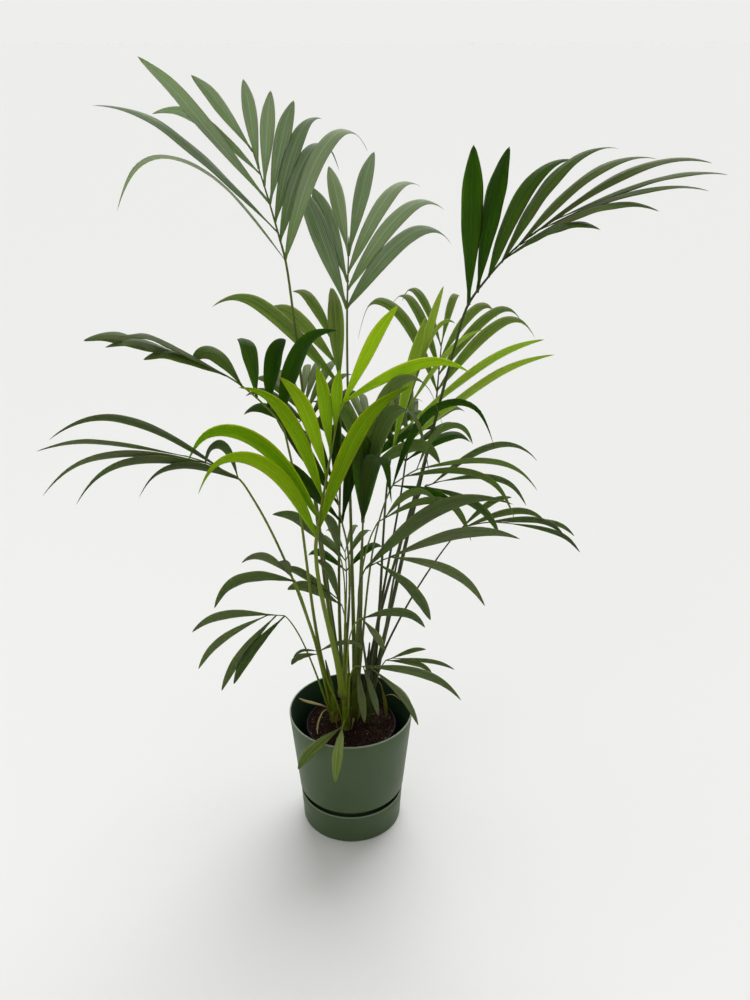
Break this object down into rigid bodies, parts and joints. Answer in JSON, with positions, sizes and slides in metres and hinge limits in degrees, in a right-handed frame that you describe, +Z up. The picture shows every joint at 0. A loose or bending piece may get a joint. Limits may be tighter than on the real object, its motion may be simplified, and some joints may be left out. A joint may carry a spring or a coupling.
{
  "type": "potted kentia palm",
  "caption": "Tall indoor palm with arching fronds of long narrow leaflets, in a tapered pot that stands in a matching saucer.",
  "frame": {"origin": "centre of the saucer's flat underside, on the pot's axis", "axes": "+Z up along the pot's axis, +X to the right and +Y away from a viewer who stands in front of the plant"},
  "size_m": [1.0855, 0.747, 1.4723],
  "materials": {
    "planter_plastic": "satin moulded plastic, leaf green",
    "nursery_plastic": "matt black thin plastic",
    "soil": "loose dark peat with pale specks",
    "stem_green": "waxy green stem with dry brown leaf bases",
    "leaf_grey": "grey-green leaf underside",
    "leaf_mid": "mid green leaf, satin",
    "leaf_dark": "dark green leaf, satin",
    "leaf_deep": "very dark green leaf, satin",
    "leaf_bright": "bright yellow-green young leaf",
    "leaf_light": "light green leaf with sun on it",
    "leaf_dull": "dull dark grey-green leaf"
  },
  "bodies": {
    "root": {"frond_back_middle": "leaf_mid", "frond_back_right": "leaf_mid", "frond_centre_bright": "leaf_bright", "frond_centre_dark": "leaf_dark", "frond_centre_shade": "leaf_deep", "frond_front_left": "leaf_dull", "frond_front_right": "leaf_dull", "frond_inner_left": "leaf_dull", "frond_inner_low": "leaf_dull", "frond_inner_right": "leaf_dull", "frond_left_long": "leaf_dull", "frond_left_low": "leaf_dull", "frond_left_small": "leaf_dull", "frond_left_upper": "leaf_dark", "frond_rear_left": "leaf_dark", "frond_rear_low": "leaf_dark", "frond_rear_middle": "leaf_dark", "frond_rear_right": "leaf_dark", "frond_right_arch": "leaf_dark", "frond_right_far": "leaf_dull", "frond_right_foot": "leaf_dull", "frond_right_inner": "leaf_dark", "frond_right_light": "leaf_light", "frond_right_low": "leaf_dull", "frond_right_middle": "leaf_dull", "frond_rim_front": "leaf_mid", "frond_top_left": "leaf_grey", "frond_top_middle": "leaf_grey", "frond_top_right": "leaf_dark", "nursery_pot": "nursery_plastic", "planter": "planter_plastic", "saucer": "planter_plastic", "soil": "soil", "stem_back_left": "stem_green", "stem_back_right": "stem_green", "stem_front": "stem_green", "stem_left": "stem_green", "stem_middle": "stem_green", "stem_right": "stem_green"}
  },
  "joints": []
}
